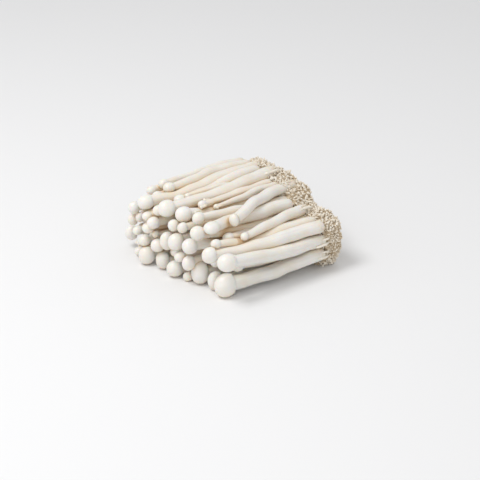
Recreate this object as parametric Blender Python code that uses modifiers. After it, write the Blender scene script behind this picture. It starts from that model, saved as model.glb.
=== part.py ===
"""A bunch of white shimeji mushrooms, lying on its side as picked.

The mushrooms grew from one root base. Their caps face -X and the root base is at +X, the near side
of the bunch is at -Y, and the bunch rests on z = 0. The numbers below are millimetres, and MM turns
them into the scene's metres.
"""

import math
from collections import namedtuple

import bpy
import bmesh
import numpy as np
from mathutils import Matrix, Vector, noise

MM = 0.001

# The origin is under the middle of the bunch, this far from the point the sizes are measured from.
CENTRE_X = 0.93
CENTRE_Y = 1.06

# Caps, in rows from the floor up and from the near side to the far side: each cap's width, its
# place across the bunch and up, how far it stands back from the curved face of the bunch, its
# height as a share of its width, and its depth along its stem as a share of the usual depth.
Cap = namedtuple("Cap", "width across up back tall deep", defaults=(0.0, 1.0, 1.0))
CAP_ROWS = (
    (
        Cap(10.3, -34.9, 6.3, 3.6, 1.29), Cap(7.2, -25.5, 5, 5.3, 1.43),
        Cap(8.7, -15.5, 6.6, 4.5, 1.45), Cap(4.7, -9.7, 2.5, 1.9, 1.16),
        Cap(8, -1.7, 4.5, 0.4, 1.14), Cap(5.6, 2.5, 5, 9), Cap(6.9, 9.8, 5, 2.2, 1.45),
        Cap(5.4, 13, 5, 8), Cap(8.2, 18, 5.1, -0.5, 1.27), Cap(5, 29.5, 3.2, 1),
        Cap(5, 32.5, 5, 4), Cap(5.6, 37, 3, 6), Cap(6, 45.5, 5, 10),
    ),
    (
        Cap(9.3, -42.1, 23, -1.3, 1.04), Cap(6.2, -32, 14, 13), Cap(6.4, -22, 14, 9),
        Cap(5.6, -17, 13, 14), Cap(6.3, -14.6, 12.6, -1.3, 1.33), Cap(5.7, -8, 14.2, -1.2),
        Cap(6.4, 2, 12, 5), Cap(6.6, 10.2, 13.6, -0.1, 1.09), Cap(5.6, 15, 13, 9),
        Cap(6, 20.6, 13.1, 0, 1.07), Cap(6.2, 28, 12, 10), Cap(5.6, 34.5, 13, 6),
        Cap(6.2, 41.4, 8.2, -0.3, 1.42),
    ),
    (
        Cap(5.6, -20.5, 21, 12), Cap(7.4, -14.6, 22.7, -0.9, 1.14), Cap(5.6, -8, 19, 14),
        Cap(8.1, -5.1, 21.6, -1, 1.17), Cap(7.1, 4.2, 17.8, 1, 1.45),
        Cap(3.4, 14.5, 18.7, 2.1, 1.3), Cap(6.1, 16.8, 21.5, -0.1), Cap(5.1, 30.9, 14, 0.9),
        Cap(4.8, 30, 21.5, 8), Cap(5.1, 36.5, 18.6, 0.1, 1.32), Cap(6.4, 44.5, 20, 9),
    ),
    (
        Cap(7.3, -29.3, 23, -1.1, 1.19), Cap(4.9, -28.2, 26.5, 3.9, 1.08), Cap(5.6, -24, 26, 15),
        Cap(7.4, -20.4, 32.3, -0.3), Cap(5.6, -13, 27, 12), Cap(4.9, -9.2, 30.9, -0.2, 1.2),
        Cap(5.4, -2.5, 29.7, -0.2, 1.23), Cap(5.4, 5, 26, 9), Cap(6.3, 13.4, 26.2, -0.1, 1.06),
        Cap(4.3, 30.9, 20.3, 2.9, 1.33), Cap(5.8, 34.5, 26, 0.2, 1.22), Cap(6, 36, 25, 9),
        Cap(6.2, 43, 24, 14),
    ),
    (
        Cap(4.1, -29.6, 26.2, 19.5, 1.09), Cap(7.8, -21.6, 32.2, 6, 0.82),
        Cap(5.8, -13.3, 36.1, 5.9, 1.17), Cap(7.9, -4, 36.4, 4.5, 1.06), Cap(5.6, 2, 32, 13),
        Cap(5.5, 12.9, 32.9, 3, 1.05), Cap(5.1, 16.9, 27.3, 0, 0.95), Cap(5.6, 24, 30, 14),
        Cap(5.2, 27.7, 33.3, 12.1, 0.97), Cap(5.3, 39, 32, 12.2, 0.97),
    ),
    (
        Cap(5.5, -22.8, 33.9, 18.1, 1.29, 0.7), Cap(2.9, -4.7, 34.8, 23.1),
        Cap(4.2, -3.5, 36, 16.5), Cap(8.6, 5, 36.1, 1.9, 1.07), Cap(2.9, 11.3, 37, 19),
        Cap(6, 11.9, 33.7, 15.4, 0.89), Cap(8.1, 24, 33.4, 3), Cap(5.9, 24.2, 35.9, 18),
        Cap(5.3, 36.1, 35.3, 19),
    ),
)
TOP_ROW = len(CAP_ROWS) - 1

# The face that the caps make slants away from the near side, then turns back.
FACE_NEAR_X = -26.0
FACE_NEAR_Y = -38.0
FACE_SLANT = 0.26
FACE_TURN_Y = 15.0
FACE_TURN = 0.012

# Stems.
STEM_LEAST_RADIUS = 1.8
STEM_RADIUS_PER_CAP_WIDTH = 0.19
NECK_SHARE = 0.70
NECK_TO_FULL = 0.6
WAVE = 1.8
ARCH = 2.0

# Feet: where the stems meet the root base, and how high they stand there.
FOOT_X = 35.0
FOOT_NEAR = -38.5
FOOT_FAR = 48.0
FOOT_ROW_UP = (0, 7.4, 13.4, 20.6, 25.4, 31.4)
ROW_NEAR_STEP = (0, 0, 7, 1, 17, 37)
ROW_FAR_STEP = (1, 0, 0, 1, 3, 4)
FOOT_UNDERS = ((-40, 7), (-34, 6.5), (-26, 1.5), (-20, 0.9))
FOOT_TOPS = (
    (-40, 26), (-35, 28.5), (-28, 30), (-19, 33), (-10, 35.5), (0, 38), (10, 38.5), (30, 38), (38, 37),
    (44, 34), (48, 29),
)

# Settling of the stems on one another and on the floor, where the lowest are pressed a little flat.
STATION_STEP = 3.0
LAST_STATION_X = -51.0
SETTLE_ROUNDS = 450
GAP = 0.45
PUSH = 0.35
SAG = 0.04
FLOOR_SINK = 0.35
SEED = 11

# Mesh of one mushroom: its stem's points are about this far apart, and wide caps have more sides.
# The facets are swelled a little, so that they enclose as much as the round shape.
STEM_POINT_STEP = 15.0
WIDE_CAP = 7.4
WIDE_SIDES_RESOLUTION = 2
SLIM_SIDES_RESOLUTION = 1
# Share of the cap's width along its axis from the rim, and share of its radius there.
CAP_PROFILE = ((0.02, 0.74), (0.30, 1.0), (0.60, 0.86), (0.80, 0.52), (0.90, 0.12))
RIM_SHARE = 0.35
FOOT_END_SHARE = 0.86
FACET_SWELL = 1.04

# The plate of tissue in which the stems' feet have grown together.
PLATE_FRONT_X = 31.5
PLATE_BACK_X = 35.7

# Root base: its outline across (y, z), its faces along x, and its knobbly relief.
BASE_FRONT_X = 36.0
BASE_BACK_X = 47.0
BASE_SLANT = 0.06
BASE_ROUND = 2.5
BASE_OUTLINE = (
    (-28, -1.0), (-33, 3.5), (-36.5, 10), (-37.5, 17), (-36, 23.5), (-32.5, 27.5), (-26, 28.5),
    (-20.5, 28), (-16, 28), (-12, 31), (-8, 33.5), (-3, 36), (4, 37), (18, 37), (30, 36), (38, 34.5),
    (44, 31.5), (47.5, 25), (48, 14), (46.5, 5), (43, -1.0),
)
BASE_CELL = 2.3
KNOB_PITCH = 5.2
KNOB_HEIGHT = 1.8
RELIEF_FRONT_X = 38.0

COLOURS = {
    "mushrooms": (0.86, 0.83, 0.76),
    "root_base": (0.50, 0.41, 0.28),
}
ROUGHNESS = {"mushrooms": 0.5, "root_base": 0.85}


def clear_scene():
    """Remove what the scene holds before the bunch is built."""
    for item in list(bpy.data.objects):
        bpy.data.objects.remove(item, do_unlink=True)


def new_collection(name):
    """Add a collection to the scene."""
    collection = bpy.data.collections.new(name)
    bpy.context.scene.collection.children.link(collection)
    return collection


def plain_material(name):
    """Make the Principled material of one piece."""
    material = bpy.data.materials.new(name)
    material.use_nodes = True
    shader = material.node_tree.nodes["Principled BSDF"]
    shader.inputs["Base Color"].default_value = (*COLOURS[name], 1.0)
    shader.inputs["Roughness"].default_value = ROUGHNESS[name]
    shader.inputs["Metallic"].default_value = 0.0
    return material


def face_x(across):
    """Where the front of a cap's row of the bunch is, at this place across."""
    turned = max(0.0, across - FACE_TURN_Y) ** 2
    return FACE_NEAR_X - FACE_SLANT * (across - FACE_NEAR_Y) + FACE_TURN * turned


def plant():
    """Place every mushroom's cap and foot.

    The feet of a row are spread over the root base by the width of their stems, and stand at their
    row's height, or under the top of the root base where that is lower.
    """
    tops_y, tops_z = np.array(FOOT_TOPS, float).T
    unders_y, unders_z = np.array(FOOT_UNDERS, float).T
    plants = []
    for row, caps in enumerate(CAP_ROWS):
        radii = np.array([STEM_LEAST_RADIUS + STEM_RADIUS_PER_CAP_WIDTH * cap.width for cap in caps])
        near = FOOT_NEAR + ROW_NEAR_STEP[row]
        far = FOOT_FAR - ROW_FAR_STEP[row]
        share = 2 * radii + (far - near - 2 * radii.sum()) / len(caps)
        across = near + np.cumsum(share) - share / 2
        for cap, radius, foot_y in zip(caps, radii, across):
            top = np.interp(foot_y, tops_y, tops_z)
            under = np.interp(foot_y, unders_y, unders_z)
            foot_z = min(under + radius + FOOT_ROW_UP[row], top - radius)
            head = (face_x(cap.across) + cap.back, cap.across, cap.up)
            plants.append((cap.width, radius, *head, foot_y, foot_z, row / TOP_ROW))
    return np.array(plants).T


def radii_at(x, width, stem, head_x):
    """Radius of every mushroom where x cuts it; 0 where x is in front of its cap."""
    way = np.clip((FOOT_X - x) / (FOOT_X - head_x), 0, 1)
    swell = np.clip((1 - way) / NECK_TO_FULL, 0, 1) ** 0.8
    stem_here = stem * (NECK_SHARE + (1 - NECK_SHARE) * swell)
    along = (x - head_x) / (0.475 * width)
    cap_here = np.sqrt(np.clip(1 - along * along, 0, None)) * width / 2
    return np.maximum(cap_here, np.where(x > head_x, stem_here, 0))


def settle(plants):
    """Lay the mushrooms on one another, and return stations along x and each one's (y, z) there.

    Every stem starts on a gently waving line from its foot to its cap. Where two come closer than
    their radii they push each other apart, the floor pushes them up, and each stem stays smooth.
    """
    width, stem, head_x, head_y, head_z, foot_y, foot_z, level = plants
    count = len(width)
    random = np.random.default_rng(SEED)
    stations = np.arange(FOOT_X, LAST_STATION_X, -STATION_STEP)
    radii = np.array([radii_at(x, width, stem, head_x) for x in stations])
    way = np.clip((FOOT_X - stations[:, None]) / (FOOT_X - head_x[None, :]), 0, 1)
    ease = 0.5 * way + 0.5 * way * way * (3 - 2 * way)
    middle = np.sin(math.pi * way)
    phase = random.uniform(0, 2 * math.pi, (2, 1, count))
    turns = random.uniform(0.7, 1.4, (2, 1, count))
    wave = WAVE * (0.2 + 0.8 * level ** 2) * middle * np.sin(phase + 2 * math.pi * turns * way)
    line_y = foot_y + (head_y - foot_y) * ease + wave[0]
    line_z = foot_z + (head_z - foot_z) * ease + 0.5 * wave[1] + ARCH * middle * level
    line = np.stack([line_y, line_z], axis=2)
    place = line.copy()
    present = radii > 0
    pairs = present[:, :, None] & present[:, None, :] & ~np.eye(count, dtype=bool)
    reach = radii[:, :, None] + radii[:, None, :] + GAP
    hold = 0.015 + 0.12 * way ** 6 + 0.10 * (1 - way) ** 4
    for settled in range(SETTLE_ROUNDS):
        loose = 1 - settled / SETTLE_ROUNDS
        place += (line - place) * (hold * loose)[..., None]
        place[..., 1] -= SAG * loose * middle
        for _ in range(2):
            apart = place[:, :, None, :] - place[:, None, :, :]
            distance = np.linalg.norm(apart, axis=3) + 1e-9
            deep = np.where(pairs, np.clip(reach - distance, 0, None), 0)
            place += ((PUSH * deep / distance)[..., None] * apart).sum(axis=2)
            place[..., 1] = np.maximum(place[..., 1], radii - FLOOR_SINK)
        smooth = 0.35 * (0.25 + 0.75 * loose)
        place[1:-1] += smooth * ((place[:-2] + place[2:]) / 2 - place[1:-1])
    return stations, place


def mushroom_points(plants, index, stations, place, deep):
    """List one mushroom's points from foot to cap tip, as (position, radius) in millimetres."""
    width, stem, head_x = plants[0][index], plants[1][index], plants[2][index]

    def at(x):
        across = np.interp(x, stations[::-1], place[::-1, index, 0])
        up = np.interp(x, stations[::-1], place[::-1, index, 1])
        return Vector((x, across, up))

    rim_x = head_x + RIM_SHARE * width
    steps = max(2, round((FOOT_X - rim_x) / STEM_POINT_STEP))
    points = []
    for step in range(steps + 1):
        x = FOOT_X + (rim_x - FOOT_X) * step / steps
        radius = radii_at(x, width, stem, np.array([head_x]))[0]
        neck = stem * NECK_SHARE
        if step == 0:
            radius *= FOOT_END_SHARE
        if step == steps:
            radius = neck
        points.append((at(x), radius))
    for along, share in CAP_PROFILE:
        points.append((at(rim_x - along * width * deep), share * width / 2))
    return points


def curve_to_mesh(curve_object, collection):
    """Turn a curve into a closed mesh object, with its end caps welded on."""
    bpy.context.view_layer.update()
    evaluated = curve_object.evaluated_get(bpy.context.evaluated_depsgraph_get())
    mesh = bpy.data.meshes.new_from_object(evaluated)
    mesh.transform(curve_object.matrix_world)
    name = curve_object.name
    bpy.data.objects.remove(curve_object, do_unlink=True)
    solid = bpy.data.objects.new(name, mesh)
    collection.objects.link(solid)
    work = bmesh.new()
    work.from_mesh(mesh)
    bmesh.ops.remove_doubles(work, verts=work.verts, dist=0.00001)
    bmesh.ops.recalc_face_normals(work, faces=work.faces)
    work.to_mesh(mesh)
    work.free()
    return solid


def build_mushroom(index, points, cap, collection):
    """Make one mushroom: a round spline whose radius follows the stem and then the cap."""
    curve = bpy.data.curves.new(f"mushroom_{index}", "CURVE")
    curve.dimensions = "3D"
    curve.bevel_depth = MM
    wide = cap.width > WIDE_CAP
    curve.bevel_resolution = WIDE_SIDES_RESOLUTION if wide else SLIM_SIDES_RESOLUTION
    curve.use_fill_caps = True
    spline = curve.splines.new("POLY")
    spline.points.add(len(points) - 1)
    for point, (position, radius) in zip(spline.points, points):
        point.co = (*(position * MM), 1.0)
        point.radius = radius * FACET_SWELL
    curve_object = bpy.data.objects.new(f"mushroom_{index}", curve)
    collection.objects.link(curve_object)
    solid = curve_to_mesh(curve_object, collection)
    rim = points[-len(CAP_PROFILE)][0]
    for vertex in solid.data.vertices:
        if vertex.co.x < rim.x * MM:
            vertex.co.z += (vertex.co.z - rim.z * MM) * (cap.tall - 1)
        vertex.co.z = max(vertex.co.z, 0.0)
    return solid


def build_plate(feet, collection):
    """Make the plate of tissue that the feet end in: the hull of the feet's middles."""
    work = bmesh.new()
    for x in (PLATE_FRONT_X, PLATE_BACK_X):
        for y, z in feet:
            work.verts.new(Vector((x, y, z)) * MM)
    hull = bmesh.ops.convex_hull(work, input=work.verts)
    inside = [item for item in hull["geom_interior"] if isinstance(item, bmesh.types.BMVert)]
    bmesh.ops.delete(work, geom=inside, context="VERTS")
    bmesh.ops.recalc_face_normals(work, faces=work.faces)
    mesh = bpy.data.meshes.new("mushrooms")
    work.to_mesh(mesh)
    work.free()
    plate = bpy.data.objects.new("mushrooms", mesh)
    collection.objects.link(plate)
    return plate


def build_mushrooms(collection, material):
    """Grow all the mushrooms and join them, with their feet, into one solid."""
    grown = new_collection("grown_pieces")
    plants = plant()
    stations, place = settle(plants)
    caps = [cap for row in CAP_ROWS for cap in row]
    for index, cap in enumerate(caps):
        points = mushroom_points(plants, index, stations, place, cap.deep)
        build_mushroom(index, points, cap, grown)
    bunch = build_plate(place[0], collection)
    union = bunch.modifiers.new("join", "BOOLEAN")
    union.operation = "UNION"
    union.solver = "EXACT"
    union.operand_type = "COLLECTION"
    union.collection = grown
    bpy.context.view_layer.update()
    evaluated = bunch.evaluated_get(bpy.context.evaluated_depsgraph_get())
    joined = bpy.data.meshes.new_from_object(evaluated)
    bunch.modifiers.clear()
    bunch.data = joined
    for piece in list(grown.objects):
        bpy.data.objects.remove(piece, do_unlink=True)
    bpy.data.collections.remove(grown)
    joined.materials.clear()
    joined.materials.append(material)
    joined.shade_smooth()
    joined.set_sharp_from_angle(angle=math.radians(50))
    return bunch


def knob(place):
    """Height of the root base's knobbly relief at a place, from 0 to 1."""
    distances, _ = noise.voronoi(place / KNOB_PITCH)
    return 1.0 - min(1.0, distances[0] * 1.5) ** 2


def build_root_base(collection, material):
    """Make the lumpy root base: a thick slab with a round edge, meshed evenly and knobbed."""
    curve = bpy.data.curves.new("root_base", "CURVE")
    curve.dimensions = "2D"
    curve.fill_mode = "BOTH"
    curve.extrude = ((BASE_BACK_X - BASE_FRONT_X) / 2 - BASE_ROUND) * MM
    curve.bevel_depth = BASE_ROUND * MM
    curve.offset = -BASE_ROUND * MM
    curve.bevel_resolution = 2
    spline = curve.splines.new("POLY")
    spline.points.add(len(BASE_OUTLINE) - 1)
    for point, (y, z) in zip(spline.points, BASE_OUTLINE):
        point.co = (y * MM, z * MM, 0.0, 1.0)
    spline.use_cyclic_u = True
    curve_object = bpy.data.objects.new("root_base", curve)
    collection.objects.link(curve_object)
    middle_x = (BASE_BACK_X + BASE_FRONT_X) / 2 * MM
    curve_object.matrix_world = Matrix(((0, 0, 1, middle_x), (1, 0, 0, 0), (0, 1, 0, 0), (0, 0, 0, 1)))
    slab = curve_to_mesh(curve_object, collection)
    remesh = slab.modifiers.new("even", "REMESH")
    remesh.mode = "VOXEL"
    remesh.voxel_size = BASE_CELL * MM
    bpy.context.view_layer.update()
    evaluated = slab.evaluated_get(bpy.context.evaluated_depsgraph_get())
    mesh = bpy.data.meshes.new_from_object(evaluated)
    slab.modifiers.clear()
    slab.data = mesh
    normals = [vertex.normal.copy() for vertex in mesh.vertices]
    for vertex, normal in zip(mesh.vertices, normals):
        spot = vertex.co / MM
        fade = min(1.0, max(0.0, (spot.x - BASE_FRONT_X) / (RELIEF_FRONT_X - BASE_FRONT_X)))
        way = (spot.x - BASE_FRONT_X) / (BASE_BACK_X - BASE_FRONT_X)
        spot.x -= BASE_SLANT * (spot.y - FOOT_NEAR) * way
        spot += normal * (knob(spot) - 0.5) * KNOB_HEIGHT * fade
        spot.x = max(spot.x, BASE_FRONT_X)
        spot.z = max(spot.z, 0.0)
        vertex.co = spot * MM
    mesh.materials.clear()
    mesh.materials.append(material)
    mesh.shade_smooth()
    return slab


def main():
    """Build the bunch with its origin under the middle of it."""
    clear_scene()
    collection = new_collection("white_shimeji_bunch")
    build_mushrooms(collection, plain_material("mushrooms"))
    build_root_base(collection, plain_material("root_base"))
    shift = Matrix.Translation(Vector((-CENTRE_X, -CENTRE_Y, 0.0)) * MM)
    for piece in collection.objects:
        piece.matrix_world = shift @ piece.matrix_world


main()
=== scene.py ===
"""A bunch of white shimeji mushrooms, lying on its side: the look of the part.

Every mushroom is grown here along the same settled line as its solid, with its whole cap, gills,
neck and fibres, and the root base is grown with its crust of tiny pins. Lengths are millimetres,
and MM turns them into the scene's metres. +X runs from the caps to the root base, the near side of
the bunch is at -Y, and the bunch rests on z = 0.
"""

import logging
import math
from dataclasses import astuple, dataclass, field
from enum import Enum
from itertools import product

import bmesh
import bpy
import numpy as np
from bpy.types import Material, Mesh, Node, NodeTree, Object
from bpy.types import NodeSocket as Socket
from mathutils import Matrix, Vector, noise
from numpy.random import Generator


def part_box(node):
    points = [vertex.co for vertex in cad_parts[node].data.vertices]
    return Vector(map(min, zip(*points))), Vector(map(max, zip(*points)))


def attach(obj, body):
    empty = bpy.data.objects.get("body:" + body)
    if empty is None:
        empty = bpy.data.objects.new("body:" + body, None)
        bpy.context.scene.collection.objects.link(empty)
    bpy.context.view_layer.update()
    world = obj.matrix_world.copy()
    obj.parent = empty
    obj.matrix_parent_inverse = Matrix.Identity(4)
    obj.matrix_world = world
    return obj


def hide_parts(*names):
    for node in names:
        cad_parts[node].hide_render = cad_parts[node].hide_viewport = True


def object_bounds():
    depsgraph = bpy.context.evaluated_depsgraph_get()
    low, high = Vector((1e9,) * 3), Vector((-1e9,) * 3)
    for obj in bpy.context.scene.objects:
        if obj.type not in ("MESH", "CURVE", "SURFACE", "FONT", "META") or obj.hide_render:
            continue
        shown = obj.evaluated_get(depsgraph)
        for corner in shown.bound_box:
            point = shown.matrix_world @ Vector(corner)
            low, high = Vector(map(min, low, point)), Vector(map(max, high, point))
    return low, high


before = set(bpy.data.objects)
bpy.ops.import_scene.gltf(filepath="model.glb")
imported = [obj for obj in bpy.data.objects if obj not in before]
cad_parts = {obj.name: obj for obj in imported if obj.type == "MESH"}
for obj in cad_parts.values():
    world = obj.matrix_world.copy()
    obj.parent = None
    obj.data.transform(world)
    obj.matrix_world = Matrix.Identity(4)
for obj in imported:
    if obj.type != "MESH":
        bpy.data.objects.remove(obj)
CAD_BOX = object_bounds()

MM = 0.001
TOP = CAD_BOX[1][2] / MM
FAR = 99.0
BODY = "root"
log = logging.getLogger("shimeji")

Array = np.ndarray
Colour = Triple = tuple[float, float, float]
Pair = tuple[float, float]
Pairs = tuple[Pair, ...]


# Layout of the bunch: the same values as the part's source.


@dataclass(frozen=True)
class Cap:
    """One mushroom by its cap: its width, its place, and how it differs from the usual one.

    back is how far it is behind the front of its row, and foot how far its stem runs on. tall and
    deep stretch the cap, and stout the stem. neck is the radius of the stem's top as a share of the
    stem's, and slim the most that it can be, as a share of the cap's width.
    """

    width: float
    across: float
    up: float
    back: float = 0.0
    tall: float = 1.0
    deep: float = 1.0
    neck: float = 0.76
    slim: float = 0.34
    stout: float = 1.0
    foot: float = 1.5


CAP_ROWS = (
    (
        Cap(10.3, -34.9, 6.3, 3.6, 1.29, neck=0.92, slim=0.46), Cap(7.2, -25.5, 5, 5.3, 1.43),
        Cap(8.7, -15.5, 6.6, 4.5, 1.45), Cap(4.7, -9.7, 2.5, 1.9, 1.16),
        Cap(8, -1.7, 4.5, 0.4, 1.14), Cap(5.6, 2.5, 5, 9), Cap(6.9, 9.8, 5, 2.2, 1.45),
        Cap(5.4, 13, 5, 8), Cap(8.2, 18, 5.1, -0.5, 1.27), Cap(5, 29.5, 3.2, 1),
        Cap(5, 32.5, 5, 4), Cap(5.6, 37, 3, 6), Cap(6, 45.5, 5, 10),
    ),
    (
        Cap(9.3, -42.1, 23, -1.3, 1.04, stout=0.97), Cap(6.2, -32, 14, 13), Cap(6.4, -22, 14, 9),
        Cap(5.6, -17, 13, 14), Cap(6.3, -14.6, 12.6, -1.3, 1.33), Cap(5.7, -8, 14.2, -1.2),
        Cap(6.4, 2, 12, 5), Cap(6.6, 10.2, 13.6, -0.1, 1.09), Cap(5.6, 15, 13, 9),
        Cap(6, 20.6, 13.1, 0, 1.07), Cap(6.2, 28, 12, 10), Cap(5.6, 34.5, 13, 6),
        Cap(6.2, 41.4, 8.2, -0.3, 1.42),
    ),
    (
        Cap(5.6, -20.5, 21, 12), Cap(7.4, -14.6, 22.7, -0.9, 1.14), Cap(5.6, -8, 19, 14),
        Cap(8.1, -5.1, 21.6, -1, 1.17), Cap(7.1, 4.2, 17.8, 1, 1.45),
        Cap(3.4, 14.5, 18.7, 2.1, 1.3), Cap(6.1, 16.8, 21.5, -0.1), Cap(5.1, 30.9, 14, 0.9),
        Cap(4.8, 30, 21.5, 8), Cap(5.1, 36.5, 18.6, 0.1, 1.32), Cap(6.4, 44.5, 20, 9),
    ),
    (
        Cap(7.3, -29.3, 23, -1.1, 1.19), Cap(4.9, -28.2, 26.5, 3.9, 1.08), Cap(5.6, -24, 26, 15),
        Cap(7.4, -20.4, 32.3, -0.3), Cap(5.6, -13, 27, 12), Cap(4.9, -9.2, 30.9, -0.2, 1.2),
        Cap(5.4, -2.5, 29.7, -0.2, 1.23), Cap(5.4, 5, 26, 9), Cap(6.3, 13.4, 26.2, -0.1, 1.06),
        Cap(4.3, 30.9, 20.3, 2.9, 1.33), Cap(5.8, 34.5, 26, 0.2, 1.22), Cap(6, 36, 25, 9),
        Cap(6.2, 43, 24, 14),
    ),
    (
        Cap(4.1, -29.6, 26.2, 19.5, 1.09, neck=0.85, slim=0.46, foot=-0.5),
        Cap(7.8, -21.6, 32.2, 6, 0.82, foot=-5.5), Cap(5.8, -13.3, 36.1, 5.9, 1.17, foot=-3),
        Cap(7.9, -4, 36.4, 4.5, 1.06), Cap(5.6, 2, 32, 13), Cap(5.5, 12.9, 32.9, 3, 1.05),
        Cap(5.1, 16.9, 27.3, 0, 0.95), Cap(5.6, 24, 30, 14), Cap(5.2, 27.7, 33.3, 12.1, 0.97),
        Cap(5.3, 39, 32, 12.2, 0.97),
    ),
    (
        Cap(5.5, -22.8, 33.9, 18.1, 1.29, 0.7, neck=0.88, slim=0.46, foot=4),
        Cap(2.9, -4.7, 34.8, 23.1, stout=0.75, foot=-2),
        Cap(4.2, -3.5, 36, 16.5, stout=0.85, foot=-4), Cap(8.6, 5, 36.1, 1.9, 1.07, foot=1),
        Cap(2.9, 11.3, 37, 19, stout=0.75, foot=-3), Cap(6, 11.9, 33.7, 15.4, 0.89, foot=-4),
        Cap(8.1, 24, 33.4, 3), Cap(5.9, 24.2, 35.9, 18, foot=-1.5),
        Cap(5.3, 36.1, 35.3, 19, foot=-2.5),
    ),
)


def unit(rows: Array) -> Array:
    """Scale each row to a length of one."""
    return rows / (np.linalg.norm(rows, axis=-1, keepdims=True) + 1e-12)


def smoothstep(value: Array, low: float, high: float) -> Array:
    """Rise smoothly from 0 at low to 1 at high."""
    share = np.clip((value - low) / (high - low), 0, 1)
    return share * share * (3 - 2 * share)


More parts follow.
